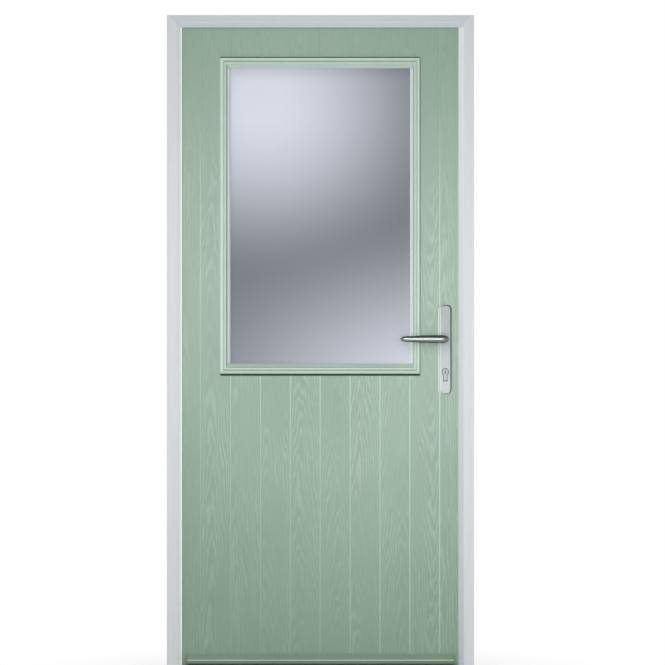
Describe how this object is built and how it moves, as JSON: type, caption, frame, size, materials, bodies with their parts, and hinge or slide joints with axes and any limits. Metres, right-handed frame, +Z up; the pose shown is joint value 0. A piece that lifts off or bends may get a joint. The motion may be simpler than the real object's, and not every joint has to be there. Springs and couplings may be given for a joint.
{
  "type": "half-glazed composite fire door set",
  "caption": "Grooved composite door leaf with a tall obscured glass panel, lever furniture and a weather bar, hung in a bevelled rebated frame with a low threshold.",
  "frame": {"origin": "bottom centre of the threshold, at the middle of the frame's width and depth, on the sill's underside", "axes": "+Z up, +X towards the lock side seen from outside, +Y from outside into the building"},
  "size_m": [0.98, 0.1726, 2.1],
  "materials": {
    "frame_foil": "pale grey-white foil, faint grain",
    "threshold_aluminium": "mill",
    "seal_rubber": "matt",
    "intumescent": "matt",
    "green_skin": "embossed wood grain, soft sage green",
    "edge_timber": "painted to match the skin",
    "core_foam": "rigid foam",
    "satin_glass": "obscured",
    "spacer_aluminium": "plain",
    "satin_plate": "satin",
    "chrome_lever": "polished",
    "lock_steel": "plated",
    "hinge_steel": "satin"
  },
  "bodies": {
    "frame": {"hinge_jamb": "frame_foil", "lock_jamb": "frame_foil", "frame_head": "frame_foil", "threshold": "threshold_aluminium", "hinge_jamb_seal": "seal_rubber", "lock_jamb_seal": "seal_rubber", "head_seal": "seal_rubber", "threshold_seal": "seal_rubber", "hinge_jamb_strip": "intumescent", "lock_jamb_strip": "intumescent", "head_strip": "intumescent", "lock_keeps": "lock_steel", "top_hinge_frame_flap": "hinge_steel", "top_hinge_pin": "hinge_steel", "middle_hinge_frame_flap": "hinge_steel", "middle_hinge_pin": "hinge_steel", "bottom_hinge_frame_flap": "hinge_steel", "bottom_hinge_pin": "hinge_steel"},
    "leaf": {"outer_skin": "green_skin", "inner_skin": "green_skin", "hinge_stile": "edge_timber", "lock_stile": "edge_timber", "top_rail": "edge_timber", "bottom_rail": "edge_timber", "foam_core": "core_foam", "outer_cassette": "green_skin", "inner_cassette": "green_skin", "outer_pane": "satin_glass", "inner_pane": "satin_glass", "spacer_bar": "spacer_aluminium", "weather_bar": "green_skin", "outer_handle_plate": "satin_plate", "inner_handle_plate": "satin_plate", "lock_cylinder": "lock_steel", "lock_faceplate": "lock_steel", "lock_bolts": "lock_steel", "top_hinge_leaf_flap": "hinge_steel", "middle_hinge_leaf_flap": "hinge_steel", "bottom_hinge_leaf_flap": "hinge_steel"},
    "levers": {"outer_lever": "chrome_lever", "inner_lever": "chrome_lever", "spindle": "lock_steel"}
  },
  "joints": [
    {"name": "leaf_swing", "type": "hinge", "parent": "frame", "child": "leaf", "pos_m": [-0.4565, 0.043, 1], "axis": [0, 0, 1], "range_deg": [0, 110]},
    {"name": "lever_turn", "type": "hinge", "parent": "leaf", "child": "levers", "pos_m": [0.3988, 0.013, 1.0668], "axis": [0, -1, 0], "range_deg": [-40, 35], "stiffness_Nm_per_rad": 2.5, "springref_deg": -7.45}
  ]
}
